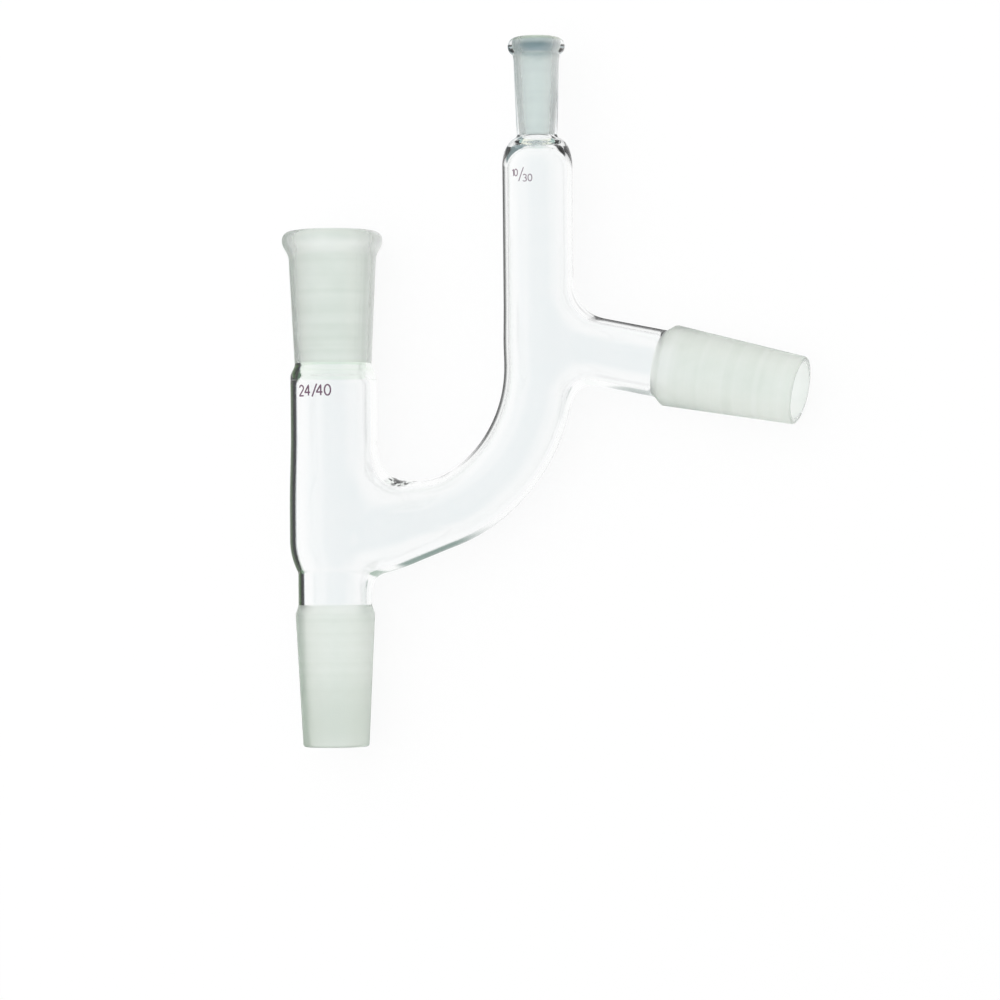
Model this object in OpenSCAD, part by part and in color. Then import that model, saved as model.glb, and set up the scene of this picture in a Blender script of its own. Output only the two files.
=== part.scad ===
// Distillation head for standard taper glassware, blown and sealed as one piece of
// borosilicate glass. It lies in its own plane: +X runs from the column towards the
// side arm, +Y up the column, and +Z is square to the plane that all the tubes share.
// The origin is the centre of the lower cone's open end. Lengths are in millimetres.

/* [Ground joints] */
// Diameter of the 24/40 joints at the wide end of the ground taper
joint_d = 24; // [19:0.5:29]
// Ground length of the 24/40 joints
joint_l = 40; // [30:1:50]
// Diameter of the thermometer joint at the wide end of its taper
thermo_d = 10; // [9:0.5:14]
// Ground length of the thermometer joint
thermo_l = 30; // [20:1:40]
// Length over which the taper changes the diameter by one
taper = 10; // [8:0.5:12]
// Wall of the glass in a cone and in the large socket
joint_wall = 1.65; // [1.2:0.05:2.2]
// Wall of the thermometer socket at its foot
thermo_wall = 2.5; // [1.6:0.1:3]
// Wall of the thermometer socket under its bead
thermo_top_wall = 1.8; // [1.2:0.1:2.4]
// Height of the sloped band between a cone's ground taper and its plain tube
cone_step = 2.6; // [1.5:0.1:4]

/* [Socket rims] */
// Outer diameter of the flared rim of the large socket
rim_d = 30.5; // [29.5:0.1:34]
// Thickness of the large socket's rim
rim_t = 5.2; // [3:0.1:5.6]
// Outer diameter of the bead on the thermometer socket
bead_d = 17; // [15:0.1:22]
// Thickness of the bead on the thermometer socket
bead_t = 5.4; // [3:0.1:6]

/* [Column] */
// Outer diameter of the column
column_d = 26; // [24.5:0.1:32]
// Wall of the column
column_wall = 1.6; // [1.2:0.1:2.2]
// Straight length of the column
column_l = 49.5; // [44:0.5:62]
// How much wider the column's radius is blown out where the bent tube joins it
column_swell = 0.5; // [0:0.1:1]
// Outer diameter of the plain neck under the column
neck_d = 22.2; // [20:0.1:24]
// Length of the plain neck
neck_l = 10; // [9:0.5:13]
// Height of the rounded foot where the column draws in to the neck
foot_h = 9.6; // [6:0.1:12]
// Height of the shoulder where the column draws in to the socket
shoulder_h = 4; // [3:0.1:8]

/* [Bent tube] */
// Distance between the column's axis and the upright tube's axis
spacing = 65.7; // [56:0.1:80]
// Outer diameter of the bent tube
tube_d = 20.8; // [18:0.1:23]
// Wall of the bent tube
tube_wall = 1.4; // [1.1:0.1:2]
// Radius of the bend, measured to the tube's axis
bend_r = 46; // [38:0.5:54]
// Slope at which the tube comes down to the column, in degrees
root_slope = 11; // [5:1:20]
// Outer diameter that the tube is blown out to where it joins the column
root_d = 26.2; // [23:0.1:27]
// Height above the column's straight foot at which the tube's axis reaches the column's
root_rise = 0.3; // [0:0.1:4]
// Straight length of the upright tube above the side arm's axis
upright_l = 51.8; // [42:0.1:62]
// Height of the dome that closes the upright tube round the thermometer socket
dome_h = 8.2; // [6:0.1:11]

/* [Side arm] */
// Outer diameter of the side arm's plain tube
side_d = 19.8; // [16:0.1:21]
// Wall of the side arm
side_wall = 1.4; // [1.1:0.1:2]
// Length from the upright tube's axis to the cone's ground taper
side_l = 41.5; // [36:0.1:50]
// Droop of the side arm below square to the upright tube, in degrees
side_droop = 12; // [5:1:20]
// Height of the side arm's axis above the top of the bend
side_rise = 7.8; // [3:0.1:11]

/* [Sealed joints] */
// Size of the fillet in the crotch above the bent tube's root
root_fillet = 10; // [4:0.5:11]
// Size of the fillet in the crotch below the bent tube's root
root_fillet_under = 5; // [2:0.5:6]
// Size of the fillet in the crotch above the side arm
side_fillet = 12; // [5:0.5:13]
// Size of the fillet in the crotch below the side arm
side_fillet_under = 7; // [4:0.5:8]

/* [Hidden] */

$fn = 96;
sides = 40;        // sides of the rings that the two sealed joints are swept from
rings = 10;        // rings in each leg of a sealed joint
bite = 0.3;        // how far a turned tube runs into a sealed joint's leg
ease = 0.02;       // how far a leg's flats stand proud of the tube that runs into it
arc_step = 15;     // largest angle between two points of a turned profile's arc
s_points = 6;      // steps in an S-shaped shoulder
lip = 0.6;         // rounding of a socket's ground edge
cone_lip = 0.8;    // rounding of a cone's open end, where its wall leaves room for it
seam = 1.4;        // size of the fillet left along a seal's flanks
root_start = 3;    // where the bent tube's root starts, from the column's axis

joint_r = joint_d / 2;
joint_tip_r = joint_r - joint_l / taper / 2;
thermo_r = thermo_d / 2;
thermo_foot_r = thermo_r - thermo_l / taper / 2;
column_r = column_d / 2;
neck_r = neck_d / 2;
tube_r = tube_d / 2;
root_r = root_d / 2;
side_r = side_d / 2;

// heights up the column, from the lower cone's open end
neck_y = joint_l + cone_step;
foot_y = neck_y + neck_l;
column_y = foot_y + foot_h;
shoulder_y = column_y + column_l;
socket_y = shoulder_y + shoulder_h;
rim_y = socket_y + joint_l;

// the bend's centre, placed so that the bent tube's straight root runs on into the column
root_y = column_y + root_rise;
bend_x = spacing - bend_r;
root_end_x = bend_x + bend_r * sin(root_slope);
bend_y = root_y + root_end_x * tan(root_slope) + bend_r * cos(root_slope);
root_end_y = bend_y - bend_r * cos(root_slope);

// heights up the upright tube
side_y = bend_y + side_rise;
dome_y = side_y + upright_l;
thermo_y = dome_y + dome_h;
thermo_rim_y = thermo_y + thermo_l;

// ends of the legs of the lower sealed joint, clear of its fillets; the bent tube's leg ends
// on the bend, where the inner side of the bend is as far out as the flare's start
low_up_y = root_y + root_r + 2 * root_fillet;
low_down_y = neck_y + 1.5;
inner_r = bend_r - tube_r;
flare_x = min(column_r + 1.2 * tube_d, bend_x + 0.75 * inner_r);
low_bend_a = min(90 - root_slope, acos((flare_x - bend_x) / inner_r));

// ends of the legs of the upper sealed joint, clear of its fillets
high_up_y = side_y + side_r / cos(side_droop) + side_fillet;
high_side_s = tube_r + 1.2 * side_fillet;
high_bend_a = asin((side_r + 1.6 * side_fillet_under - side_rise) / bend_r);

// ---- plane geometry ----

function mix(a, b, t) = a + (b - a) * t;
function unit(v) = v / norm(v);
function clamp01(t) = max(0, min(1, t));
function ease01(t) = let (c = clamp01(t)) c * c * (3 - 2 * c);
function arc(x, y, rx, ry, a0, a1) =
    let (n = ceil(abs(a1 - a0) / arc_step))
    [for (i = [0:n]) let (a = a0 + (a1 - a0) * i / n) [x + rx * cos(a), y + ry * sin(a)]];

// points of an S-shaped step between two radii, from height y0 to height y1
function s_step(r0, r1, y0, y1) =
    [for (i = [0:s_points]) let (t = i / s_points) [mix(r0, r1, ease01(t)), mix(y0, y1, t)]];

// ---- the tubes as fields: distance outside the glass, and the way that it faces ----

function from_axis(v, r) = let (n = norm(v)) [n - r, n > 0.001 ? v / n : [0, 0, 1]];

// what a skin adds to a tube's radius: the outer one clears the round tube that runs into
// the leg with its flats, and the inner one stays inside that tube's bore
function skin(inner, wall) =
    inner ? -wall - ease : column_r * (1 / cos(180 / sides) - 1) + ease;

// The column is blown out a little towards its joint, and its foot draws in to the neck
// along a parabola, ever more steeply.
function column_field(p, inner) =
    let (u = clamp01((p[1] - foot_y) / foot_h),
         full = column_r + column_swell * ease01((low_up_y - p[1]) / 24))
    from_axis([p[0], 0, p[2]], mix(neck_r, full, u * (2 - u)) + skin(inner, column_wall));

function bent_field(p, inner) =
    let (flare = ease01((flare_x - p[0]) / (flare_x - column_r - 3)),
         r = mix(tube_r, root_r, flare) + skin(inner, tube_wall),
         d = [p[0] - bend_x, p[1] - bend_y],
         run = [cos(root_slope), sin(root_slope)],
         q = [p[0] - root_end_x, p[1] - root_end_y])
    p[1] > bend_y ? from_axis([p[0] - spacing, 0, p[2]], r)
    : q * run > 0
    ? let (out = unit(d) * (norm(d) - bend_r)) from_axis([out[0], out[1], p[2]], r)
    : let (s = max(q * run, root_start - norm([root_end_x, root_end_y - root_y])))
      from_axis([q[0] - s * run[0], q[1] - s * run[1], p[2]], r);

function side_field(p, inner) =
    let (run = [cos(side_droop), -sin(side_droop)],
         q = [p[0] - spacing, p[1] - side_y],
         s = max(q * run, 0))
    from_axis([q[0] - s * run[0], q[1] - s * run[1], p[2]], side_r + skin(inner, side_wall));

// Union of two fields with a fillet of size k. The fillet all but dies out where the two
// tubes' walls run the same way, so that the flanks of a seal don't bulge.
function blend(a, b, k) =
    let (reach = k * (1 - a[1] * b[1]) + seam, h = max(reach - abs(a[0] - b[0]), 0))
    min(a[0], b[0]) - (h > 0 ? h * h / reach / 4 : 0);

// the fillet's size at a height, which changes across the width of the tube that joins on
function fillet(above, r, upper, under) = mix(under, upper, ease01(above / r / 2 + 0.5));

function field(p, high, inner) =
    high ? blend(bent_field(p, inner), side_field(p, inner),
                 fillet(p[1] - side_y, side_r, side_fillet, side_fillet_under))
    : blend(column_field(p, inner), bent_field(p, inner),
            fillet(p[1] - root_y, root_r, root_fillet, root_fillet_under));

// the point where a ray from inside a tube meets its surface
function meet(o, dir, high, inner, t = 1, n = 40) =
    let (f = field(o + dir * t, high, inner))
    n == 0 || abs(f) < 0.0001 ? o + dir * t : meet(o, dir, high, inner, t - f, n - 1);

// ---- a sealed joint: three legs that meet in three shared seams ----

// The legs go clockwise. A leg is a list of stations from its open end inwards, each a
// point on its axis and the vector square to it, one radius long, towards the next leg.
// Seam k lies between leg k and the next one, and is the vector from the joint's centre
// to the crotch there. All seams end in the two poles, above and below the centre.

function ray(v, i) =
    let (a = 360 * i / sides, w = unit(v)) [abs(sin(a)) * w[0], abs(sin(a)) * w[1], cos(a)];

function seam_point(c, seams, k, i, high, inner) =
    meet([c[0], c[1], 0], ray(seams[k], i), high, inner);

function ring_point(legs, seams, k, j, i, high, inner) =
    let (st = legs[k][j], near = i <= sides / 2,
         out = near ? st[1] : -st[1],
         v = mix(out, near ? seams[k] : seams[(k + 2) % 3], j / rings))
    meet([st[0][0], st[0][1], 0], ray(v, i), high, inner);

function skin_points(c, legs, seams, high, inner) = concat(
    [for (k = [0:2]) for (i = [0:sides / 2]) seam_point(c, seams, k, i, high, inner)],
    [for (k = [0:2]) for (j = [0:rings - 1]) for (i = [0:sides - 1])
        ring_point(legs, seams, k, j, i, high, inner)]);

// where a point is in that list; the innermost ring of a leg is made of its two seams
seam_size = sides / 2 + 1;
skin_size = 3 * seam_size + 3 * rings * sides;
function seam_index(k, i) = i % (sides / 2) == 0 ? i : k * seam_size + i;
function ring_index(k, j, i) =
    let (w = i % sides)
    j < rings ? 3 * seam_size + (k * rings + j) * sides + w
    : w <= sides / 2 ? seam_index(k, w) : seam_index((k + 2) % 3, sides - w);

function skin_faces(base, inner) =
    [for (k = [0:2]) for (j = [0:rings - 1]) for (i = [0:sides - 1])
        let (a = base + ring_index(k, j, i), b = base + ring_index(k, j, i + 1),
             c = base + ring_index(k, j + 1, i + 1), d = base + ring_index(k, j + 1, i))
        each inner ? [[a, c, b], [a, d, c]] : [[a, b, c], [a, c, d]]];
function end_faces() =
    [for (k = [0:2]) for (i = [0:sides - 1])
        let (a = ring_index(k, 0, i), b = ring_index(k, 0, i + 1))
        each [[a, skin_size + a, b], [b, skin_size + a, skin_size + b]]];

module sealed_joint(c, legs, seams, high) {
    polyhedron(
        points = concat(skin_points(c, legs, seams, high, false),
                        skin_points(c, legs, seams, high, true)),
        faces = concat(skin_faces(0, false), skin_faces(skin_size, true), end_faces()),
        convexity = 8);
}

// stations of a straight leg, from its open end to the joint's centre
function straight_leg(from, to, side) =
    [for (j = [0:rings - 1]) [mix(from, to, j / rings), side]];

// the bent tube's axis at a length s below the level of its bend's centre, and the vector
// one radius long from there to the outside of the bend
function bent_station(s) =
    let (a = s / bend_r * 180 / PI, turn = 90 - root_slope,
         over = s - bend_r * turn * PI / 180,
         run = [cos(root_slope), sin(root_slope)])
    s < 0 ? [[spacing, bend_y - s], [tube_r, 0]]
    : over < 0
    ? [[bend_x + bend_r * cos(a), bend_y - bend_r * sin(a)],
       [tube_r * cos(a), -tube_r * sin(a)]]
    : [[root_end_x, root_end_y] - over * run, tube_r * [run[1], -run[0]]];
function bent_leg(from, to, facing) =
    [for (j = [0:rings - 1]) let (st = bent_station(mix(from, to, j / rings)))
        [st[0], facing * st[1]]];
function bend_length(a) = bend_r * a * PI / 180;

// the column, its neck and the root of the bent tube
module column_joint() {
    centre = [0, root_y];
    run_up = tan(root_slope);
    half = root_r / cos(root_slope);
    whole = bend_length(90 - root_slope) + norm([root_end_x, root_end_y - root_y]);
    sealed_joint(
        centre,
        [straight_leg([0, low_up_y], centre, [column_r, 0]),
         bent_leg(bend_length(low_bend_a), whole, 1),
         straight_leg([0, low_down_y], centre, [-neck_r, 0])],
        [[column_r, column_r * run_up + half],
         [neck_r, neck_r * run_up - half],
         [-column_r, 0]],
        false);
}

// the upright tube, the side arm and the top of the bend
module arm_joint() {
    centre = [spacing, side_y];
    run_down = tan(side_droop);
    half = side_r / cos(side_droop);
    out = [cos(side_droop), -sin(side_droop)];
    sealed_joint(
        centre,
        [straight_leg([spacing, high_up_y], centre, [tube_r, 0]),
         straight_leg(centre + high_side_s * out, centre, side_r * [out[1], -out[0]]),
         bent_leg(bend_length(high_bend_a), -side_rise, -1)],
        [[tube_r, half - tube_r * run_down],
         [tube_r, -half - tube_r * run_down],
         [-tube_r, 0]],
        true);
}

// the round stretch of the bent tube between the two sealed joints
module bend() {
    over = bite / bend_r * 180 / PI;
    translate([bend_x, bend_y, 0])
        rotate([0, 0, -low_bend_a - over])
            difference() {
                rotate_extrude(angle = low_bend_a - high_bend_a + 2 * over)
                    translate([bend_r, 0])
                        circle(r = tube_r);
                rotate([0, 0, -over])
                    rotate_extrude(angle = low_bend_a - high_bend_a + 4 * over)
                        translate([bend_r, 0])
                            circle(r = tube_r - tube_wall);
            }
}

// ---- turned lengths: each profile is a list of radius and height, turned about +Y ----

module turned(profile) {
    rotate([-90, 0, 0])
        rotate_extrude()
            polygon(profile);
}

// a ground cone with its open end at height 0, on a plain tube that runs on to height end
module cone_length(plain_r, plain_wall, end) {
    bore = joint_tip_r - joint_wall;
    round = min(cone_lip, joint_wall * 0.48);
    turned(concat(
        arc(bore + round, round, round, round, 180, 270),
        arc(joint_tip_r - round, round, round, round, 270, 360),
        [[joint_r, joint_l], [plain_r, joint_l + cone_step], [plain_r, end],
         [plain_r - plain_wall, end], [plain_r - plain_wall, joint_l + cone_step],
         [joint_r - joint_wall, joint_l]]));
}

module lower_cone() {
    cone_length(neck_r, column_wall, low_down_y + bite);
}

module side_cone() {
    tip = side_l + joint_l;
    translate([spacing, side_y, 0])
        rotate([0, 0, -side_droop])
            translate([tip, 0, 0])
                rotate([0, 0, 90])
                    cone_length(side_r, side_wall, tip - high_side_s + bite);
}

// the column above its sealed joint, with the large socket and its flared rim
module top_socket() {
    foot_r = joint_tip_r + joint_wall;
    rim_r = rim_d / 2;
    half = rim_t / 2;
    round = min(half, rim_r - joint_r - lip);
    neck = rim_y - 1.62 * rim_t;
    under_r = joint_r - 1.62 * rim_t / taper / 2 + joint_wall;
    turned(concat(
        [[column_r, low_up_y - bite]],
        s_step(column_r, foot_r, shoulder_y, socket_y),
        s_step(under_r, rim_r, neck, rim_y - half * 1.15),
        arc(rim_r - round, rim_y - half, round, half, 0, 90),
        arc(joint_r + lip, rim_y - lip, lip, lip, 90, 180),
        [[joint_tip_r, socket_y], [joint_tip_r, socket_y - shoulder_h / 2],
         [column_r - column_wall, shoulder_y - 1], [column_r - column_wall, low_up_y - bite]]));
}

// the upright tube above the side arm, its dome and the beaded thermometer socket
module thermometer_socket() {
    half = bead_t / 2;
    round = min(half, bead_d / 2 - thermo_r - lip);
    foot_r = thermo_foot_r + thermo_wall;
    bore = tube_r - tube_wall;
    translate([spacing, 0, 0])
        turned(concat(
            [[tube_r, high_up_y - bite]],
            arc(foot_r, dome_y, tube_r - foot_r, dome_h, 0, 75),
            [[foot_r, thermo_y + 0.5], [thermo_r + thermo_top_wall, thermo_rim_y - 1.15 * bead_t]],
            arc(bead_d / 2 - round, thermo_rim_y - half, round, half, -60, 90),
            arc(thermo_r + lip, thermo_rim_y - lip, lip, lip, 90, 180),
            [[thermo_foot_r, thermo_y]],
            arc(thermo_foot_r, dome_y - 0.5, bore - thermo_foot_r, dome_h - tube_wall, 75, 0),
            [[bore, high_up_y - bite]]));
}

module glass_head() {
    color([0.86, 0.92, 0.93])
        union() {
            column_joint();
            arm_joint();
            bend();
            lower_cone();
            top_socket();
            thermometer_socket();
            side_cone();
        }
}

glass_head();
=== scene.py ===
import math

import bmesh
import bpy
import numpy as np
from mathutils import Matrix


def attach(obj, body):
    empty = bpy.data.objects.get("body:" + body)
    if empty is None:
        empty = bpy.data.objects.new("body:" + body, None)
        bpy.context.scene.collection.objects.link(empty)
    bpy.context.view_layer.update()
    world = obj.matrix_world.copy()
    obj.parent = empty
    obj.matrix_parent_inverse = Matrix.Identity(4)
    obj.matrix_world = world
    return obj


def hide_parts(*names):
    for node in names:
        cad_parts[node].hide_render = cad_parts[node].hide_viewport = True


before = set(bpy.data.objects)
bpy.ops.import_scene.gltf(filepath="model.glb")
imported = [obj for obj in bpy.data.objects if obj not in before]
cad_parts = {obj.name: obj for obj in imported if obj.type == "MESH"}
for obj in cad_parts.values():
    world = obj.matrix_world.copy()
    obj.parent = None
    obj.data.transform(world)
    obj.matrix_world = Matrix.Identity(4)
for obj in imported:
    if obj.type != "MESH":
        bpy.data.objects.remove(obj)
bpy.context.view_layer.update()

# A distillation head, blown and sealed as one piece of borosilicate glass. It lies in its own
# plane: +X from the column towards the side arm, +Y up the column, +Z square to all the tubes.
# Lengths are in millimetres until MM turns them to metres.

MM = 0.001

# ---- sizes ----

JOINT_R, JOINT_L = 12.0, 40.0          # 24/40 taper: radius at the wide end, ground length
JOINT_TIP_R = 10.0                     # and at the narrow end
THERMO_R, THERMO_FOOT_R, THERMO_L = 5.0, 3.5, 30.0    # 10/30 taper
JOINT_WALL, THERMO_WALL, THERMO_TOP_WALL = 1.65, 2.5, 1.8
CONE_STEP = 2.6                        # height of the slope from a cone's wide end to its tube
RIM_R, RIM_T = 15.25, 5.2              # the large socket's flared rim
BEAD_R, BEAD_T = 8.5, 5.4              # the thermometer socket's rolled bead
COLUMN_R, COLUMN_WALL = 13.0, 1.6
COLUMN_SWELL, SWELL_H = 0.5, 24.0      # how much wider it is blown at its joint, over what height
NECK_R = 11.1                          # the plain neck between the column's foot and its cone
FOOT_Y, FOOT_H = 52.6, 9.6
SHOULDER_Y, SHOULDER_H = 111.7, 4.0
SPACING = 65.7                         # from the column's axis to the upright tube's
TUBE_R, TUBE_WALL = 10.4, 1.4
BEND_R, ROOT_SLOPE = 46.0, math.radians(11)
ROOT_R, ROOT_START = 13.1, 3.0         # the bent tube's flared root: radius, and start of axis
UPRIGHT_L, DOME_H = 51.8, 8.2
SIDE_R, SIDE_WALL, SIDE_L = 9.9, 1.4, 41.5
SIDE_DROOP, SIDE_RISE = math.radians(12), 7.8    # its slope, and height over the bend's centre
ROOT_FILLET, ROOT_FILLET_UNDER = 10.0, 5.0    # in the crotch above a joint and below it
SIDE_FILLET, SIDE_FILLET_UNDER = 12.0, 7.0
LIP, CONE_LIP = 0.6, 0.79              # rounding of the sockets' and the cones' edges
SEAM = 1.4                             # size of the fillet left along a seal's flanks
TAPER = 20                             # 1:10 on the diameter is 1:20 on the radius

SOCKET_Y = SHOULDER_Y + SHOULDER_H
RIM_Y = SOCKET_Y + JOINT_L
ROOT_Y = FOOT_Y + FOOT_H + 0.3         # where the bent tube's axis meets the column's
BEND_X = SPACING - BEND_R
ROOT_RUN = np.array([math.cos(ROOT_SLOPE), math.sin(ROOT_SLOPE)])
ROOT_END_X = BEND_X + BEND_R * ROOT_RUN[1]
BEND_Y = ROOT_Y + ROOT_END_X * math.tan(ROOT_SLOPE) + BEND_R * ROOT_RUN[0]
ROOT_END = np.array([ROOT_END_X, BEND_Y - BEND_R * ROOT_RUN[0]])
ROOT_LENGTH = math.hypot(ROOT_END[0], ROOT_END[1] - ROOT_Y)
SIDE_Y = BEND_Y + SIDE_RISE
SIDE_RUN = np.array([math.cos(SIDE_DROOP), -math.sin(SIDE_DROOP)])
DOME_Y = SIDE_Y + UPRIGHT_L
THERMO_Y = DOME_Y + DOME_H
THERMO_RIM_Y = THERMO_Y + THERMO_L

# the open ends of the two sealed joints' legs
LOW_UP_Y = ROOT_Y + ROOT_R + 2 * ROOT_FILLET
LOW_DOWN_Y = JOINT_L + CONE_STEP + 1.5
INNER_R = BEND_R - TUBE_R              # the bend's inner side, where the flare starts
FLARE_X = COLUMN_R + 2.4 * TUBE_R
FLARE_L = FLARE_X - COLUMN_R - 3       # it is full 3 mm from the column
LOW_BEND_A = math.acos((FLARE_X - BEND_X) / INNER_R)
HIGH_UP_Y = SIDE_Y + SIDE_R / SIDE_RUN[0] + SIDE_FILLET
HIGH_SIDE_S = TUBE_R + 1.2 * SIDE_FILLET
HIGH_BEND_A = math.asin((SIDE_R + 1.6 * SIDE_FILLET_UNDER - SIDE_RISE) / BEND_R)

AROUND = 112      # points round every tube
RINGS = 30        # rings in each leg of a sealed joint
BEND_RINGS = 44   # and in the bend between the joints
MEET_STEPS = 80   # steps of a ray out to the glass
STEP = 2.0        # longest step along a turned length
END_STEP = 0.3    # first and last step of a stretch, so that the shading turns only there
CORNER = 7        # points on a rounded corner
MERGE = 2e-6      # metres between two points that are one
TABLE_HALF = 6.0  # metres from the table top's middle to its edges
CLEAR, CONE, SOCKET, THERMOMETER = range(4)    # the glass's finishes, as material numbers


# ---- small helpers ----

def mix(a, b, t):
    """The value a share t of the way from a to b."""
    return a + (b - a) * t


def ease01(t):
    """0 below 0, 1 above 1, and the cubic 3t^2 - 2t^3 between them."""
    c = np.clip(t, 0, 1)
    return c * c * (3 - 2 * c)


def unit(v):
    """The same direction, one long."""
    return v / np.maximum(np.linalg.norm(v, axis=-1, keepdims=True), 1e-9)


# ---- the tubes as fields: distance outside the glass, and the way that it faces ----

def from_axis(v, r):
    """Distance from an axis less the tube's radius, and the unit vector away from the axis."""
    n = np.linalg.norm(v, axis=-1)
    return n - r, v / np.maximum(n, 1e-9)[..., None]


def flat_vector(x, y, z):
    """Three arrays as one array of vectors."""
    return np.stack(np.broadcast_arrays(x, y, z), axis=-1)


def column_field(p, inner):
    """The Y axis's tube. The column's radius is blown out by COLUMN_SWELL towards the joint,
    and its foot draws in to the neck along a parabola, u (2 - u)."""
    u = np.clip((p[..., 1] - FOOT_Y) / FOOT_H, 0, 1)
    full = COLUMN_R + COLUMN_SWELL * ease01((LOW_UP_Y - p[..., 1]) / SWELL_H)
    r = mix(NECK_R, full, u * (2 - u))
    return from_axis(flat_vector(p[..., 0], 0 * r, p[..., 2]), r - COLUMN_WALL * inner)


def bent_field(p, inner):
    """The tube along an upright line, then a circle of radius BEND_R, then a straight root.
    Towards the column it flares from TUBE_R to ROOT_R by the cubic ease."""
    x, y, z = p[..., 0], p[..., 1], p[..., 2]
    r = mix(TUBE_R, ROOT_R, ease01((FLARE_X - x) / FLARE_L)) - TUBE_WALL * inner
    upright = flat_vector(x - SPACING, 0 * r, z)
    d = np.stack([x - BEND_X, y - BEND_Y], axis=-1)
    out = unit(d) * (np.linalg.norm(d, axis=-1, keepdims=True) - BEND_R)
    bend = flat_vector(out[..., 0], out[..., 1], z)
    q = np.stack([x - ROOT_END[0], y - ROOT_END[1]], axis=-1)
    along = q @ ROOT_RUN
    s = np.maximum(along, ROOT_START - ROOT_LENGTH)
    root = flat_vector(q[..., 0] - s * ROOT_RUN[0], q[..., 1] - s * ROOT_RUN[1], z)
    v = np.where((y > BEND_Y)[..., None], upright, np.where((along > 0)[..., None], bend, root))
    return from_axis(v, r)


def side_field(p, inner):
    """The tube along the side arm's axis, with a round end at the upright tube's axis."""
    q = np.stack([p[..., 0] - SPACING, p[..., 1] - SIDE_Y], axis=-1)
    s = np.maximum(q @ SIDE_RUN, 0)
    v = flat_vector(q[..., 0] - s * SIDE_RUN[0], q[..., 1] - s * SIDE_RUN[1], p[..., 2])
    return from_axis(v, SIDE_R - SIDE_WALL * inner)


def blend(a, b, k):
    """The lesser of two fields, less a fillet (reach - |a - b|)^2 / 4 reach where the two are
    within reach of each other. reach is k times one less the cosine between the two walls,
    plus SEAM, so the fillet all but dies out where the walls run the same way."""
    reach = k * (1 - (a[1] * b[1]).sum(-1)) + SEAM
    h = np.maximum(reach - np.abs(a[0] - b[0]), 0)
    return np.minimum(a[0], b[0]) - h * h / reach / 4


def fillet(above, r, upper, under):
    """The fillet's size at a height above a joint's middle: it changes from the lower crotch's
    to the upper one's across the width of the tube that joins on."""
    return mix(under, upper, ease01(above / r / 2 + 0.5))


def low_field(p, inner):
    """The column and the bent tube, sealed together."""
    return blend(column_field(p, inner), bent_field(p, inner),
                 fillet(p[..., 1] - ROOT_Y, ROOT_R, ROOT_FILLET, ROOT_FILLET_UNDER))


def high_field(p, inner):
    """The bent tube and the side arm, sealed together."""
    return blend(bent_field(p, inner), side_field(p, inner),
                 fillet(p[..., 1] - SIDE_Y, SIDE_R, SIDE_FILLET, SIDE_FILLET_UNDER))


def meet(field, o, ray, inner):
    """Where rays from inside a tube meet its surface, by stepping on by the field's value."""
    t = np.ones(ray.shape[:-1])
    for _ in range(MEET_STEPS):
        t -= field(o + ray * t[..., None], inner)
    return o + ray * t[..., None]


# ---- the sealed joints: three legs that meet in three shared seams ----

ANGLES = 2 * np.pi * np.arange(AROUND) / AROUND    # round a tube, from +Z towards its side


def rays(side):
    """Unit rays at every angle: |sin| along the side's direction and cos along +Z."""
    w = unit(side)
    return np.concatenate([np.abs(np.sin(ANGLES))[:, None] * w, np.cos(ANGLES)[:, None]], axis=1)


def leg_grid(field, centre, stations, seams, k, inner):
    """Rings from the k-th leg's open end in to its two seams. Each ring's rays turn from square
    to the leg's axis, at its open end, to the two seams' directions, at the joint's centre,
    where the last ring is."""
    near = (np.arange(AROUND) <= AROUND // 2)[:, None]
    rows = []
    for j, (at, side) in enumerate(stations + [(centre, stations[-1][1])]):
        t = j / len(stations)
        v = np.where(near, mix(side, seams[k], t), mix(-side, seams[(k + 2) % 3], t))
        rows.append(meet(field, np.array([*at, 0.0]), rays(v), inner))
    return np.array(rows)


def straight_leg(start, centre, side):
    """Stations along a straight axis: points on it and the vector square to it."""
    steps = [mix(np.array(start), np.array(centre), j / RINGS) for j in range(RINGS)]
    return [(at, np.array(side, float)) for at in steps]


def bent_station(s):
    """The bent tube's axis at length s past the bend's top, and the vector one radius long
    to the outside of the bend. s below 0 is up the upright tube."""
    a = s / BEND_R
    over = s - BEND_R * (math.pi / 2 - ROOT_SLOPE)
    if s < 0:
        return np.array([SPACING, BEND_Y - s]), TUBE_R * np.array([1.0, 0.0])
    if over < 0:
        out = np.array([math.cos(a), -math.sin(a)])
        return np.array([BEND_X, BEND_Y]) + BEND_R * out, TUBE_R * out
    return ROOT_END - over * ROOT_RUN, TUBE_R * np.array([ROOT_RUN[1], -ROOT_RUN[0]])


def bent_leg(start, end, facing):
    """Stations along the bent tube's axis between two lengths, facing 1 outwards or -1."""
    found = [bent_station(mix(start, end, j / RINGS)) for j in range(RINGS)]
    return [(at, facing * side) for at, side in found]


def column_joint(inner):
    """The column, its neck and the bent tube's root."""
    centre = (0.0, ROOT_Y)
    half = ROOT_R / ROOT_RUN[0]
    slope = math.tan(ROOT_SLOPE)
    whole = BEND_R * (math.pi / 2 - ROOT_SLOPE) + ROOT_LENGTH
    legs = [straight_leg((0.0, LOW_UP_Y), centre, (COLUMN_R, 0)),
            bent_leg(BEND_R * LOW_BEND_A, whole, 1),
            straight_leg((0.0, LOW_DOWN_Y), centre, (-NECK_R, 0))]
    seams = np.array([[COLUMN_R, COLUMN_R * slope + half],
                      [NECK_R, NECK_R * slope - half],
                      [-COLUMN_R, 0]])
    return [leg_grid(low_field, centre, leg, seams, k, inner) for k, leg in enumerate(legs)]


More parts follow.
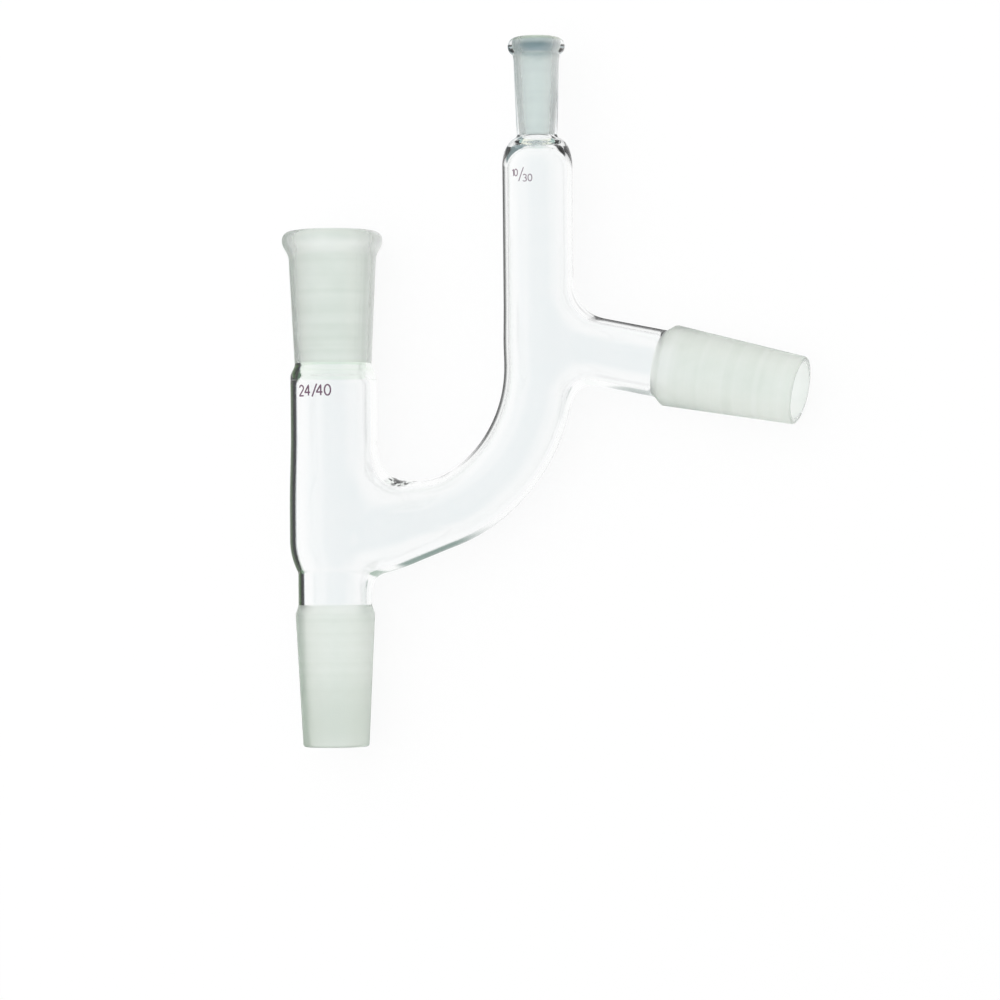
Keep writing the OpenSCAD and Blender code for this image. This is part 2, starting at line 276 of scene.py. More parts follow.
def arm_joint(inner):
    """The upright tube, the side arm and the top of the bend."""
    centre = (SPACING, SIDE_Y)
    half = SIDE_R / SIDE_RUN[0]
    drop = TUBE_R * math.tan(SIDE_DROOP)
    tip = np.array(centre) + HIGH_SIDE_S * SIDE_RUN
    legs = [straight_leg((SPACING, HIGH_UP_Y), centre, (TUBE_R, 0)),
            straight_leg(tip, centre, SIDE_R * np.array([SIDE_RUN[1], -SIDE_RUN[0]])),
            bent_leg(BEND_R * HIGH_BEND_A, -SIDE_RISE, -1)]
    seams = np.array([[TUBE_R, half - drop], [TUBE_R, -half - drop], [-TUBE_R, 0]])
    return [leg_grid(high_field, centre, leg, seams, k, inner) for k, leg in enumerate(legs)]


def bend_grid(inner):
    """The round stretch between the two joints: circles carried along the bend's arc."""
    r = TUBE_R - TUBE_WALL * inner
    a = np.linspace(LOW_BEND_A, HIGH_BEND_A, BEND_RINGS)[:, None]
    reach = BEND_R + r * np.sin(ANGLES)
    return np.stack([BEND_X + reach * np.cos(a), BEND_Y - reach * np.sin(a),
                     np.broadcast_to(r * np.cos(ANGLES), (len(a), AROUND))], axis=-1)


# ---- turned lengths: profiles of radius and height, carried round an axis ----

def rounded(points):
    """A polyline of (radius, height, rounding). Each corner becomes a parabola that starts and
    ends its rounding away from it, or 0.49 of a side where that is less. Long stretches are
    cut into steps."""
    points = np.array(points, float)
    p, rounding = points[:, :2], points[:, 2]
    out = [p[:1]]
    for i in range(1, len(p) - 1):
        a, b = p[i - 1] - p[i], p[i + 1] - p[i]
        la, lb = np.hypot(*a), np.hypot(*b)
        k = min(rounding[i], 0.49 * la, 0.49 * lb)
        t = np.linspace(0, 1, CORNER)[:, None] if k > 0 else np.array([[0.5]])
        start, end = p[i] + a / la * k, p[i] + b / lb * k
        out.append((1 - t) ** 2 * start + 2 * t * (1 - t) * p[i] + t * t * end)
    line = np.vstack(out + [p[-1:]])
    cuts = [line[:1]]
    for a, b in zip(line[:-1], line[1:]):
        length = np.hypot(*(b - a))
        n = max(1, math.ceil(length / STEP))
        t = np.arange(1, n + 1)[:, None] / n
        if n > 2:
            t = np.vstack([[[END_STEP / length]], t[:-1], [[1 - END_STEP / length], [1.0]]])
        cuts.append(mix(a, b, t))
    return np.vstack(cuts)


def s_step(r0, r1, y0, y1):
    """Ten points of an S-shaped step between two radii: the cubic ease over the height."""
    t = np.linspace(0, 1, 10)
    return np.stack([mix(r0, r1, ease01(t)), mix(y0, y1, t), 0 * t], axis=1).tolist()


def arc(x, y, rx, ry, a0, a1, n=12):
    """n points on an ellipse's arc, between two angles in degrees."""
    a = np.radians(np.linspace(a0, a1, n))
    return np.stack([x + rx * np.cos(a), y + ry * np.sin(a), 0 * a], axis=1).tolist()


def turned_grid(profile, base, run, side):
    """Rings of a profile about an axis: base + run * height + radius * (cos Z + sin side)."""
    r, h = profile[:, :1], profile[:, 1:]
    flat = np.array(base) + h[..., None] * np.array(run)
    flat = flat + (r * np.sin(ANGLES))[..., None] * np.array(side)
    return np.concatenate([flat, (r * np.cos(ANGLES))[..., None]], axis=-1)


def cone_profile(plain_r, plain_wall, end):
    """A ground cone with its open end at height 0, down its outside and up its bore."""
    bore = JOINT_TIP_R - JOINT_WALL
    outer = [(plain_r, end, 0), (plain_r, JOINT_L + CONE_STEP, 0.5), (JOINT_R, JOINT_L, 0.3)]
    lip = (arc(JOINT_TIP_R - CONE_LIP, CONE_LIP, CONE_LIP, CONE_LIP, 0, -90, 8)
           + arc(bore + CONE_LIP, CONE_LIP, CONE_LIP, CONE_LIP, 270, 180, 8))
    inner = [(JOINT_R - JOINT_WALL, JOINT_L, 2.0),
             (plain_r - plain_wall, JOINT_L + CONE_STEP, 1.6), (plain_r - plain_wall, end, 0)]
    return rounded(outer + lip + inner)


def socket_profile():
    """The column above its sealed joint: shoulder, socket, flared rim and ground bore."""
    foot_r = JOINT_TIP_R + JOINT_WALL
    half = RIM_T / 2
    flare_h = 1.62 * RIM_T
    under_r = JOINT_R - flare_h / TAPER + JOINT_WALL
    bore = COLUMN_R - COLUMN_WALL
    return rounded(
        [(COLUMN_R, LOW_UP_Y, 0)]
        + s_step(COLUMN_R, foot_r, SHOULDER_Y, SOCKET_Y)
        + s_step(under_r, RIM_R, RIM_Y - flare_h, RIM_Y - 1.15 * half)
        + arc(RIM_R - half, RIM_Y - half, half, half, 0, 90)
        + arc(JOINT_R + LIP, RIM_Y - LIP, LIP, LIP, 90, 180, 7)
        + [(JOINT_TIP_R, SOCKET_Y, 0.8), (JOINT_TIP_R, SOCKET_Y - SHOULDER_H / 2, 1.2),
           (bore, SHOULDER_Y - 1, 2.0), (bore, LOW_UP_Y, 0)])


def thermometer_profile():
    """The upright tube above the side arm: its dome and the beaded, ground socket."""
    half = BEAD_T / 2
    foot_r = THERMO_FOOT_R + THERMO_WALL
    bore = TUBE_R - TUBE_WALL
    return rounded(
        [(TUBE_R, HIGH_UP_Y, 0)]
        + arc(foot_r, DOME_Y, TUBE_R - foot_r, DOME_H, 0, 75)
        + [(foot_r, THERMO_Y + 0.5, 0.8),
           (THERMO_R + THERMO_TOP_WALL, THERMO_RIM_Y - 1.15 * BEAD_T, 1.0)]
        + arc(BEAD_R - half, THERMO_RIM_Y - half, half, half, -60, 90)
        + arc(THERMO_R + LIP, THERMO_RIM_Y - LIP, LIP, LIP, 90, 180, 7)
        + [(THERMO_FOOT_R, THERMO_Y, 1.0)]
        + arc(THERMO_FOOT_R, DOME_Y - 0.5, bore - THERMO_FOOT_R, DOME_H - TUBE_WALL, 75, 0)
        + [(bore, HIGH_UP_Y, 0)])


def ground_rows(profile, finish, low, high, outside):
    """The finish of each row of faces along a profile that turns from its outside to its bore
    at its open end: ground between two heights of one of them, and clear elsewhere."""
    h = (profile[1:, 1] + profile[:-1, 1]) / 2
    turn = profile[:, 1].argmin() if profile[0, 1] > profile[1, 1] else profile[:, 1].argmax()
    skin = (np.arange(len(h)) < turn) == outside
    return np.where(skin & (h > low) & (h < high), finish, CLEAR)


def glass_grids():
    """Every grid of the glass, outer and inner skins: (points, finish of each row of faces)."""
    grids = [(points, np.full(len(points) - 1, CLEAR)) for inner in (False, True)
             for points in (*column_joint(inner), *arm_joint(inner), bend_grid(inner))]
    wide = JOINT_L + CONE_STEP + 0.2       # the cones are ground to just past their slope
    tip = SIDE_L + JOINT_L
    side_tip = np.array([SPACING, SIDE_Y]) + tip * SIDE_RUN
    for profile, base, run, side, ground in (
            (cone_profile(NECK_R, COLUMN_WALL, LOW_DOWN_Y), (0, 0), (0, 1), (-1, 0),
             (CONE, 0, wide, True)),
            (cone_profile(SIDE_R, SIDE_WALL, tip - HIGH_SIDE_S), side_tip, -SIDE_RUN,
             (SIDE_RUN[1], -SIDE_RUN[0]), (CONE, 0, wide, True)),
            (socket_profile(), (0, 0), (0, 1), (1, 0), (SOCKET, SOCKET_Y, RIM_Y, False)),
            (thermometer_profile(), (SPACING, 0), (0, 1), (1, 0),
             (THERMOMETER, THERMO_Y, THERMO_RIM_Y, False))):
        grids.append((turned_grid(profile, base, run, side), ground_rows(profile, *ground)))
    return grids


# ---- meshes ----

def mesh_piece(name, points, faces, materials, finish=None, smooth=True):
    """A mesh object at the origin from points in millimetres and quads. Doubles are merged,
    then every face is turned to point outwards."""
    mesh = bpy.data.meshes.new(name)
    mesh.from_pydata((points * MM).tolist(), [], faces.tolist())
    if finish is not None:
        mesh.polygons.foreach_set("material_index", finish.astype(np.int32))
    bm = bmesh.new()
    bm.from_mesh(mesh)
    bmesh.ops.remove_doubles(bm, verts=bm.verts, dist=MERGE)
    bmesh.ops.recalc_face_normals(bm, faces=bm.faces)
    bm.to_mesh(mesh)
    bm.free()
    mesh.polygons.foreach_set("use_smooth", np.full(len(mesh.polygons), smooth))
    for material in materials:
        mesh.materials.append(material)
    ob = bpy.data.objects.new(name, mesh)
    bpy.context.scene.collection.objects.link(ob)
    return ob


def grid_faces(rows, columns, first):
    """Quads of a grid that closes on itself round its columns."""
    i = np.arange(rows - 1)[:, None] * columns + np.arange(columns)
    j = np.arange(rows - 1)[:, None] * columns + (np.arange(columns) + 1) % columns
    return first + np.stack([i, j, j + columns, i + columns], axis=-1).reshape(-1, 4)


def glass_piece(materials):
    """All of the glass as one closed surface, outer and inner walls."""
    points, faces, finish, first = [], [], [], 0
    for grid, rows in glass_grids():
        points.append(grid.reshape(-1, 3))
        faces.append(grid_faces(len(grid), AROUND, first))
        finish.append(np.repeat(rows, AROUND))
        first += len(grid) * AROUND
    return mesh_piece("blown_head", np.vstack(points), np.vstack(faces), materials,
                      np.concatenate(finish))


# ---- fired-on size figures ----

PEN_STEPS = 14                        # steps of a stroke as long as the figure is high
FILM_IN, FILM_OUT = 0.03, 0.05        # the enamel's depth in the glass and its height over it


def curve(*ellipse):
    """Points on an ellipse's arc in a figure's own field, as arc() takes it."""
    return np.array(arc(*ellipse, 20))[:, :2]


# each figure's strokes in a field 0.62 wide and 1 high
FIGURES = {
    "0": [curve(0.31, 0.5, 0.27, 0.46, 0, 360)],
    "1": [np.array([[0.14, 0.78], [0.36, 0.96], [0.36, 0.04]])],
    "2": [np.vstack([curve(0.31, 0.70, 0.25, 0.26, 165, -25),
                     [[0.40, 0.42], [0.06, 0.04], [0.58, 0.04]]])],
    "3": [curve(0.29, 0.73, 0.23, 0.23, 150, -90), curve(0.29, 0.28, 0.27, 0.24, 90, -150)],
    "4": [np.array([[0.44, 0.04], [0.44, 0.96], [0.03, 0.32], [0.60, 0.32]])],
    "/": [np.array([[0.05, -0.06], [0.50, 1.06]])],
}


def pen_line(stroke):
    """A stroke's points, with each straight stretch cut into even steps, two at least."""
    cuts = []
    for a, b in zip(stroke[:-1], stroke[1:]):
        steps = max(2, int(np.hypot(*(b - a)) * PEN_STEPS))
        cuts.append(mix(a, b, np.linspace(0, 1, steps, endpoint=False)[:, None]))
    return np.vstack(cuts + [stroke[-1:]])


def print_piece(name, marks, axis_x, radius, turn, width, material):
    """Figures wrapped on an upright tube: a point (u, v) goes to the angle turn + u / radius
    from +Z towards +X, at height v. marks are (figure, u, v, height). Each stroke is a closed
    strip of enamel: its two long edges lie half the width to either side along the normal."""
    points, faces, first = [], [], 0
    low, high = radius - FILM_IN, radius + FILM_OUT
    for text, u0, v0, size in marks:
        for stroke in FIGURES[text]:
            line = pen_line(stroke) * size + (u0, v0)
            along = unit(np.gradient(line, axis=0))
            normal = np.stack([-along[:, 1], along[:, 0]], axis=1) * width / 2
            left, right = line + normal, line - normal
            ring = []
            for edge, r in ((left, low), (right, low), (right, high), (left, high)):
                a = turn + edge[:, 0] / radius
                ring.append(np.stack([axis_x + r * np.sin(a), edge[:, 1], r * np.cos(a)], 1))
            grid = np.stack(ring, axis=1)
            n = len(grid)
            points.append(grid.reshape(-1, 3))
            faces.append(grid_faces(n, 4, first))
            caps = np.array([[3, 2, 1, 0], [4 * n - 4, 4 * n - 3, 4 * n - 2, 4 * n - 1]])
            faces.append(caps + first)
            first += 4 * n
    return mesh_piece(name, np.vstack(points), np.vstack(faces), [material], smooth=False)


# ---- materials ----

def linear(code):
    """An sRGB hex colour as linear values, by the sRGB curve."""
    s = np.array([int(code[i:i + 2], 16) for i in (1, 3, 5)]) / 255
    return (*np.where(s <= 0.04045, s / 12.92, ((s + 0.055) / 1.055) ** 2.4).tolist(), 1.0)


GLASS_IOR = 1.473
WHITE = linear("#ffffff")


def node(tree, kind, settings=None, *first, **named):
    """Adds a node. settings are its properties, or its inputs by name. Then come what goes to
    its live inputs in order, and to inputs by name, with _ for a space: each is a value, an
    output, or a node, which stands for its first live output."""
    made = tree.nodes.new(kind)
    for key, value in (settings or {}).items():
        if hasattr(made, key):
            setattr(made, key, value)
        else:
            made.inputs[key].default_value = value
    links = list(zip([socket for socket in made.inputs if socket.enabled], first))
    links += [(made.inputs[key.replace("_", " ")], source) for key, source in named.items()]
    for socket, source in links:
        if isinstance(source, bpy.types.Node):
            source = next(output for output in source.outputs if output.enabled)
        if isinstance(source, bpy.types.NodeSocket):
            tree.links.new(source, socket)
        else:
            socket.default_value = source
    return made


def new_material(name):
    """An empty node material and its tree."""
    material = bpy.data.materials.new(name)
    material.use_nodes = True
    material.node_tree.nodes.clear()
    return material, material.node_tree


def where(tree):
    """The point's place in the object, as a vector, and its x and y by name, in metres."""
    place = node(tree, "ShaderNodeTexCoord").outputs["Object"]
    x, y, _ = node(tree, "ShaderNodeSeparateXYZ", None, place).outputs
    return place, {"x": x, "y": y}


def patch(tree, fields, edges, share=1.0):
    """A share that stays where every field is in its band, and eases to nothing outside. A
    band is four edges in millimetres: the share comes in between the first two and goes
    between the last two."""
    for name, (low, low_full, high_full, high) in edges.items():
        for empty, full in ((low, low_full), (high, high_full)):
            side = node(tree, "ShaderNodeMapRange", {"interpolation_type": "SMOOTHSTEP"},
                        fields[name], empty * MM, full * MM)
            share = node(tree, "ShaderNodeMath", {"operation": "MULTIPLY"}, share, side)
    return share


def lamps_through(tree, shader, tint):
    """Lets lamps through glass: for their rays alone, a clear tint stands in for it."""
    path = node(tree, "ShaderNodeLightPath").outputs
    clear = node(tree, "ShaderNodeBsdfTransparent", {"Color": linear(tint)})
    both = node(tree, "ShaderNodeMixShader", None, path["Is Shadow Ray"], shader, clear)
    node(tree, "ShaderNodeOutputMaterial", None, Surface=both)


# where glow is painted into the glass once a ray has been reflected four times inside it: x and
# y, from and to, the painted colour, and whether it is painted in patches
PAINTED_GLOW_PLACES = (
    ((72, 92, 100, 114), "#fafcfb", False),        # the crotch under the side arm
    ((98.5, 106, 98, 112), "#e4ece8", False),      # the side cone's wide end, its lower side
    ((102.5, 110, 116, 128), "#e4ece8", False),    # and its upper side
    ((0, 16, 93, 130), "#fafcfb", False),          # the right of the shoulder
    ((4, 26, 44, 60), "#a9bbaf", False),           # the crotch under the bent tube's root
    ((10, 40, 70, 92), "#f4f8f5", True))           # the crotch inside the bend


def paint_glow(tree, place, fields, shader):
    """Painted glow: where a ray has been reflected four times inside the walls, the glass glows
    in the places of the table above, as pale as what is near, in patches 2.4 mm wide where that
    says so; elsewhere the light stays lost."""
    streaks = node(tree, "ShaderNodeTexNoise", {"Scale": 420.0, "Detail": 2.0}, Vector=place)
    patches = node(tree, "ShaderNodeMapRange", {"From Min": 0.49, "From Max": 0.6}, streaks)
    colour, share = linear("#bcbcbc"), 0.0
    for (x0, x1, y0, y1), code, patchy in PAINTED_GLOW_PLACES:
        here = patch(tree, fields, {"x": (x0 - 1, x0, x1, x1 + 1),
                                    "y": (y0 - 1, y0, y1, y1 + 1)}, patches if patchy else 1.0)
        share = node(tree, "ShaderNodeMath", {"operation": "MAXIMUM"}, share, here)
        colour = node(tree, "ShaderNodeMix", {"data_type": "RGBA"}, here, colour, linear(code))
    path = node(tree, "ShaderNodeLightPath").outputs
    caught = node(tree, "ShaderNodeMath", {"operation": "GREATER_THAN"},
                  path["Glossy Depth"], 3.5)
    share = node(tree, "ShaderNodeMath", {"operation": "MULTIPLY"}, caught, share)
    # the painted glow: an emission, not light from any lamp
    pale = node(tree, "ShaderNodeEmission", None, colour)
    return node(tree, "ShaderNodeMixShader", None, share, shader, pale)


def borosilicate():
    """Clear borosilicate glass, flame polished: IOR 1.473, almost no colour, a surface with
    faint cords and waves some 9 mm long left by the blowing. The top of the rolled bead, seen
    edgewise through the most glass, is yellow-green, and the shoulder under the large socket
    faintly green."""
    material, tree = new_material("borosilicate_flame_polished")
    place, fields = where(tree)
    waves = node(tree, "ShaderNodeTexNoise", {"Scale": 110.0, "Detail": 1.0, "Roughness": 0.4},
                 Vector=place)
    bump = node(tree, "ShaderNodeBump", {"Strength": 0.05, "Distance": 0.0004}, Height=waves)
    tint = node(tree, "ShaderNodeMix", {"data_type": "RGBA"}, waves, WHITE, linear("#fdfefe"))
    for edges, code in (
            ({"y": (THERMO_RIM_Y - 1.6, THERMO_RIM_Y - 0.8, 300, 310)}, "#e4ecd0"),
            ({"x": (-30, -28, 28, 30),
              "y": (SOCKET_Y - 3, SOCKET_Y - 2, SOCKET_Y, SOCKET_Y + 1)}, "#f2f8f2")):
        tint = node(tree, "ShaderNodeMix", {"data_type": "RGBA"}, patch(tree, fields, edges),
                    tint, linear(code))
    glass = node(tree, "ShaderNodeBsdfPrincipled",
                 {"Roughness": 0.0, "IOR": GLASS_IOR, "Transmission Weight": 1.0},
                 Base_Color=tint, Normal=bump)
    # the glass also carries the painted glow above, in a few named places
    lamps_through(tree, paint_glow(tree, place, fields, glass), "#f5f7f8")
    return material


def ground_glass(name, darker, paler, matt, painted_shade_tint=None, painted_shade_y=None):
    """Borosilicate ground with fine grit: the same glass with a matt, slightly green-grey
    surface, between two tints, scattering a share matt of its light as plain white paint does.
    The grit's marks, 0.1 mm in the real one, are drawn some 0.5 mm across so that they show, over
    clouds 7 mm wide where the grinding was uneven and rings 3 mm apart that the tool left as it
    turned. deeper is a painted shade: a darker tint in the band painted_shade_y of heights,
    painted where more glass or a narrower bore lies behind and less light comes through."""
    material, tree = new_material(name)
    place, fields = where(tree)
    grit = node(tree, "ShaderNodeTexNoise", {"Scale": 2000.0, "Detail": 2.0}, Vector=place)
    cloud = node(tree, "ShaderNodeTexNoise", {"Scale": 140.0, "Detail": 3.0}, Vector=place)
    bump = node(tree, "ShaderNodeBump", {"Strength": 0.25, "Distance": 0.0001}, Height=grit)
    # the rings lie across the joint's own axis, which past x = 90 mm is the side arm's
    on_arm = node(tree, "ShaderNodeMath", {"operation": "GREATER_THAN"}, fields["x"], 90 * MM)
    arm = node(tree, "ShaderNodeVectorMath", {"operation": "DOT_PRODUCT"}, place,
               (*SIDE_RUN, 0.0))
    along = node(tree, "ShaderNodeMix", {"data_type": "FLOAT"}, on_arm, fields["y"], arm)
    rings = node(tree, "ShaderNodeTexNoise",
                 {"noise_dimensions": "1D", "Scale": 330.0, "Detail": 3.0}, W=along)
    clouded = node(tree, "ShaderNodeMath", {"operation": "MULTIPLY_ADD"}, cloud, 1.4, -0.8)
    uneven = node(tree, "ShaderNodeMath", {"operation": "MULTIPLY_ADD"}, rings, 1.2, clouded)
    tint = node(tree, "ShaderNodeMix", {"data_type": "RGBA"}, uneven, linear(darker),
                linear(paler))
    # painted shade: a darker tint over a band of heights
    if painted_shade_tint:
        tint = node(tree, "ShaderNodeMix", {"data_type": "RGBA"},
                    patch(tree, fields, {"y": painted_shade_y}), tint, linear(painted_shade_tint))
    rough = node(tree, "ShaderNodeMapRange", {"To Min": 0.5, "To Max": 0.64}, cloud)
    glass = node(tree, "ShaderNodeBsdfPrincipled",
                 {"IOR": GLASS_IOR, "Transmission Weight": 1.0 - matt},
                 Base_Color=tint, Roughness=rough, Normal=bump)
    lamps_through(tree, glass, "#d5dbd6")
    return material


def enamel():
    """Dull purple enamel fired on to the glass: opaque, satin, mottled 0.3 mm across."""
    material, tree = new_material("fired_enamel_purple")
    place = node(tree, "ShaderNodeTexCoord").outputs["Object"]
    mottle = node(tree, "ShaderNodeTexNoise", {"Scale": 3000.0, "Detail": 2.0}, Vector=place)
    tint = node(tree, "ShaderNodeMix", {"data_type": "RGBA"}, mottle, linear("#5c4156"),
                linear("#7c5b70"))
    paint = node(tree, "ShaderNodeBsdfPrincipled", {"Roughness": 0.35}, Base_Color=tint)
    node(tree, "ShaderNodeOutputMaterial", None, Surface=paint)
    return material


# ---- what lies round the head: the table, and reflections painted on it ----

LEFT = (-13.5, -15, -92, -110)
# colours across x of the painted reflection left of the column: pale violet far out, then black,
# then green next to the glass, so the outline carries painted colour fringes
COLUMN_REFLECTION_COLOURS = [(-110, "#dcdaf4"), (-96, "#8482bc"), (-84, "#343272"), (-73, "#06063a"),
               (-62, "#000004"), (-37, "#000000"), (-32, "#081c00"), (-26, "#285400"),
               (-15, "#285808")]

# painted reflections: dark patches painted on the table, met only by rays reflected in the glass,
# so that they draw the tubes' dark outlines. Each is laid over those before: the bands that it
# fills, and its colour, or its colours across x
PAINTED_REFLECTIONS = (
    ({"x": LEFT}, "#869f8c"),                                # left of the lower cone
    ({"x": LEFT, "y": (112, 124, 200, 210)}, "#56745e"),     # left of the large socket
    ({"x": LEFT, "y": (40, 43, 130, 144)}, COLUMN_REFLECTION_COLOURS),     # left of the column and neck
    ({"x": (27, 33, 62, 64), "y": (86, 97, 176, 180),        # inside the bend, and left of
      "out": (-38, -21, -12, -10)}, "#0a1410"),              # the upright
    ({"x": (16, 20, 36, 52), "out": (8, 11, 24, 30)}, "#8ea09a"),        # under the root
    ({"x": (77, 81, 110, 116), "over": (3, 5, 14, 20)}, "#04090c"),      # above the side arm
    ({"x": (81, 86, 110, 116), "over": (-28, -22, -9, -6)}, "#c4cbc9"),  # below it
    # beyond the dome: left of the thermometer socket, and close along its right
    ({"x": (14, 22, 52, 58), "y": (184, 188, 250, 260)}, "#86989a"),
    ({"x": (69, 71, 80, 84), "y": (184, 187, 194, 199)}, "#030a07"))


def painted_reflection_colour(tree, place, fields):
    """Painted reflections: the colour of the table as light that the glass reflects meets it.
    White, but for the dark patches painted along the tubes in the table above: their reflections
    draw the tubes' outlines. Two more fields place them. out is the distance from the bent tube's
    axis: from the bend's centre, less BEND_R, with heights above that centre left out, so that it
    holds for the upright too. over is the distance above the side arm's axis."""
    centred = node(tree, "ShaderNodeVectorMath", {"operation": "MULTIPLY_ADD"}, place,
                   (1.0, 1.0, 0.0), (-BEND_X * MM, -BEND_Y * MM, 0.0))
    level = node(tree, "ShaderNodeVectorMath", {"operation": "MINIMUM"}, centred,
                 (TABLE_HALF, 0.0, 0.0))
    reach = node(tree, "ShaderNodeVectorMath", {"operation": "LENGTH"}, level)
    from_arm = node(tree, "ShaderNodeVectorMath", {"operation": "SUBTRACT"}, place,
                    (SPACING * MM, SIDE_Y * MM, 0.0))
    fields = {
        **fields,
        "out": node(tree, "ShaderNodeMath", {"operation": "SUBTRACT"}, reach, BEND_R * MM),
        "over": node(tree, "ShaderNodeVectorMath", {"operation": "DOT_PRODUCT"}, from_arm,
                     (-SIDE_RUN[1], SIDE_RUN[0], 0.0))}
    colour = WHITE
    for edges, reflection_colour in PAINTED_REFLECTIONS:
        if isinstance(reflection_colour, str):
            top = linear(reflection_colour)
        else:
            start, end = reflection_colour[0][0], reflection_colour[-1][0]
            top = node(tree, "ShaderNodeValToRGB", None, node(
                tree, "ShaderNodeMapRange", None, fields["x"], start * MM, end * MM))
            elements = top.color_ramp.elements
            for at, _ in reflection_colour[1:-1]:
                elements.new((at - start) / (end - start))
            for element, (_, code) in zip(elements, reflection_colour):
                element.color = linear(code)
        colour = node(tree, "ShaderNodeMix", {"data_type": "RGBA"},
                      patch(tree, fields, edges), colour, top)
    return colour


def in_view(tree):
    """1 to a ray of the eye, off a gloss or through glass, and 0 to light on a plain face."""
    path = node(tree, "ShaderNodeLightPath").outputs
    seen = path["Is Camera Ray"]
    for ray in (path["Is Glossy Ray"], path["Is Transmission Ray"]):
        seen = node(tree, "ShaderNodeMath", {"operation": "MAXIMUM"}, seen, ray)
    return seen


def floor_material():
    """Plain white table top. To the eye and through glass it is white, with a tenth of its plain
    shade kept for the shadow. Light reflected inside the glass meets the painted reflections
    beside the tubes there in full; light that only glanced off the outside meets less than half
    of them left of the column and four fifths elsewhere."""
    material, tree = new_material("white_table")
    place, fields = where(tree)
    plain = node(tree, "ShaderNodeBsdfDiffuse", {"Color": linear("#f4f4f4")})
    white = node(tree, "ShaderNodeEmission", {"Color": WHITE, "Strength": 1.0})
    bright = node(tree, "ShaderNodeMath", {"operation": "MULTIPLY"}, in_view(tree), 0.9)
    top = node(tree, "ShaderNodeMixShader", None, bright, plain, white)
    path = node(tree, "ShaderNodeLightPath").outputs
    glanced = node(tree, "ShaderNodeMapRange", {"To Min": 0.45, "To Max": 0.8},
                   fields["x"], -10 * MM, 25 * MM)
    inside = node(tree, "ShaderNodeMath", {"operation": "GREATER_THAN"},
                  path["Transmission Depth"], 0.5)
    met = node(tree, "ShaderNodeMath", {"operation": "MAXIMUM"}, inside, glanced)
    reflected = node(tree, "ShaderNodeMath", {"operation": "GREATER_THAN"},
                     path["Glossy Depth"], 0.5)
    share = node(tree, "ShaderNodeMath", {"operation": "MULTIPLY"}, reflected, met)
    # the painted reflections: light on the table that only reflected rays see
    reflection_patches = node(tree, "ShaderNodeEmission", None, painted_reflection_colour(tree, place, fields))
    both = node(tree, "ShaderNodeMixShader", None, share, top, reflection_patches)
    node(tree, "ShaderNodeOutputMaterial", None, Surface=both)
    return material


# ---- the pieces ----

glass = glass_piece([
    borosilicate(),
    # the lower cone is painted a little darker towards its narrow end, as shade
    ground_glass("borosilicate_ground_cone", darker="#e9efe7", paler="#fcfffa", matt=0.05,
                 painted_shade_tint="#e0e7de", painted_shade_y=(-20, -10, 2, 34)),
    ground_glass("borosilicate_ground_socket", darker="#e1e8df", paler="#f4f8f2", matt=0.05),
    # the dark grey-blue band under the bead is painted shade
    ground_glass("borosilicate_ground_thermometer", darker="#d8e0de", paler="#e4ece8",
                 matt=0.1, painted_shade_tint="#5c757e",
                 painted_shade_y=[THERMO_RIM_Y - d for d in (5.7, 3.4, 2.5, 1.6)])])
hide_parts("glass_head")
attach(glass, "root")

FACING = math.radians(20)     # the side of the tubes that the figures are printed round
purple = enamel()
big = print_piece(
    "size_figures_large",
    [(text, u, 105.5, 3.4) for text, u in zip("24/40", (-11.5, -9.1, -6.5, -5.0, -2.5))],
    axis_x=0.0, radius=COLUMN_R, turn=FACING, width=0.46, material=purple)
small = print_piece(
    "size_figures_small",
    [("1", -8.8, 168.9, 2.2), ("0", -7.8, 168.9, 2.2), ("/", -6.3, 167.6, 3.6),
     ("3", -4.8, 167.2, 2.2), ("0", -3.2, 167.2, 2.2)],
    axis_x=SPACING, radius=TUBE_R, turn=FACING, width=0.24, material=purple)
for piece in (big, small):
    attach(piece, "root")


# ---- the room ----

def rest_plane():
    """The plane that the head lies on, through its three lowest points: under the large rim,
    under the column's foot and under the side cone's wide end."""
    wide = np.array([SPACING, SIDE_Y]) + SIDE_L * SIDE_RUN
    a = np.array([0.0, RIM_Y - RIM_T / 2, -RIM_R])
    b = np.array([0.0, FOOT_Y + FOOT_H, -COLUMN_R - COLUMN_SWELL])
    c = np.array([*wide, -JOINT_R])
    return b, unit(np.cross(c - b, a - b))


def add_floor():
    """A square table top through the rest plane, 0.1 mm under the glass."""
    at, up = rest_plane()
    x, y = TABLE_HALF / MM * np.array([[-1, 1, 1, -1], [-1, -1, 1, 1]])
    z = at[2] - (up[0] * (x - at[0]) + up[1] * (y - at[1])) / up[2] - 0.1
    mesh = bpy.data.meshes.new("table_top")
    mesh.from_pydata((np.stack([x, y, z], axis=-1) * MM).tolist(), [], [(0, 1, 2, 3)])
    mesh.materials.append(floor_material())
    ob = bpy.data.objects.new("table_top", mesh)
    bpy.context.scene.collection.objects.link(ob)


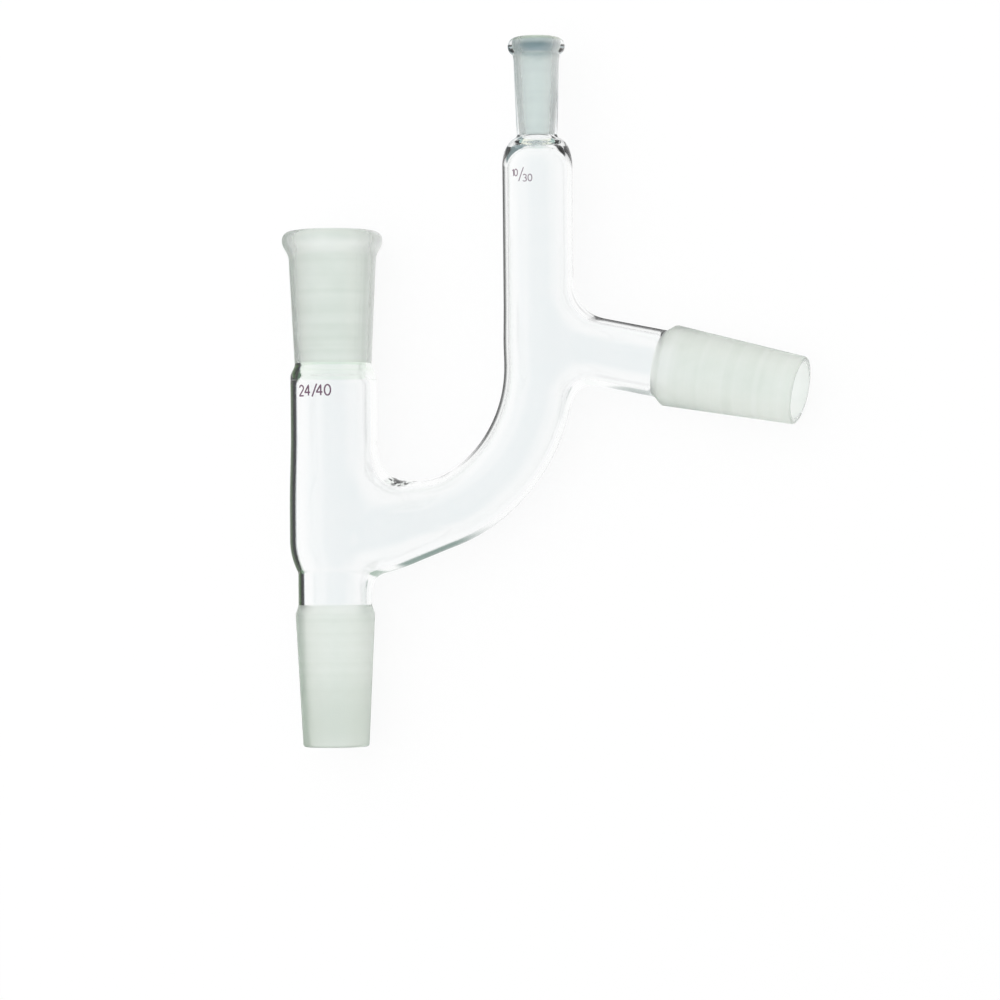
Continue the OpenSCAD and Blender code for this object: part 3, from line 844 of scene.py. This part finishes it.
def add_world():
    """A pale room, that lights plain faces at 0.76 of white. In a gloss and through glass it is
    white low down, as the table is, and grey-blue from 20 to 49 degrees up and over: clear glass
    looks grey where it faces up."""
    world = bpy.data.worlds.new("studio")
    bpy.context.scene.world = world
    world.use_nodes = True
    tree = world.node_tree
    tree.nodes.clear()
    seen = in_view(tree)
    strength = node(tree, "ShaderNodeMath", {"operation": "MULTIPLY_ADD"}, seen, 0.24, 0.76)
    up = node(tree, "ShaderNodeSeparateXYZ", None,
              node(tree, "ShaderNodeTexCoord").outputs["Generated"]).outputs["Z"]
    overhead = node(tree, "ShaderNodeMapRange", {"interpolation_type": "SMOOTHSTEP"},
                    up, 0.35, 0.75)
    share = node(tree, "ShaderNodeMath", {"operation": "MULTIPLY"}, seen, overhead)
    colour = node(tree, "ShaderNodeMix", {"data_type": "RGBA"}, share, WHITE,
                  linear("#a7c6cd"))
    light = node(tree, "ShaderNodeBackground", None, colour, strength)
    node(tree, "ShaderNodeOutputWorld", None, Surface=light)


def stand(ob, at, right, up, back):
    """Puts a lamp or a camera in the scene, with its X, Y and Z along three directions."""
    turn = Matrix(np.stack([right, up, back], axis=1).tolist()).to_4x4()
    ob.matrix_world = Matrix.Translation(at) @ turn
    bpy.context.scene.collection.objects.link(ob)


def add_lamp(name, at, aim, size, power):
    """A square soft lamp, pointed at the aim."""
    lamp = bpy.data.lights.new(name, "AREA")
    lamp.shape, lamp.size, lamp.energy = "SQUARE", size, power
    ob = bpy.data.objects.new(name, lamp)
    ob.visible_glossy = ob.visible_transmission = False
    away = unit(np.array(at) - np.array(aim))
    right = unit(np.cross([0.0, 1.0, 0.0], away))
    stand(ob, at, right, np.cross(away, right), away)


def add_camera():
    """A long lens 1.14 m away, looking down on the lying head from a little to its right."""
    right = np.array([0.94481003, -0.00932926, -0.32748583])
    up = np.array([0.01460387, 0.99980017, 0.01365093])
    ahead = np.array([-0.32729304, 0.0176801, -0.94475747])
    camera = bpy.data.cameras.new("camera")
    camera.lens, camera.sensor_width = 135.679, 36.0
    camera.clip_start, camera.clip_end = 0.01, 100.0
    ob = bpy.data.objects.new("camera", camera)
    stand(ob, (0.42022909, 0.053840, 1.06011731), right, up, -ahead)
    bpy.context.scene.camera = ob


add_floor()
add_world()
add_lamp("overhead_soft", at=(-0.25, 0.45, 0.9), aim=(0.06, 0.1, 0.0), size=1.8, power=9.0)
add_camera()
bpy.context.scene.view_settings.view_transform = "Standard"
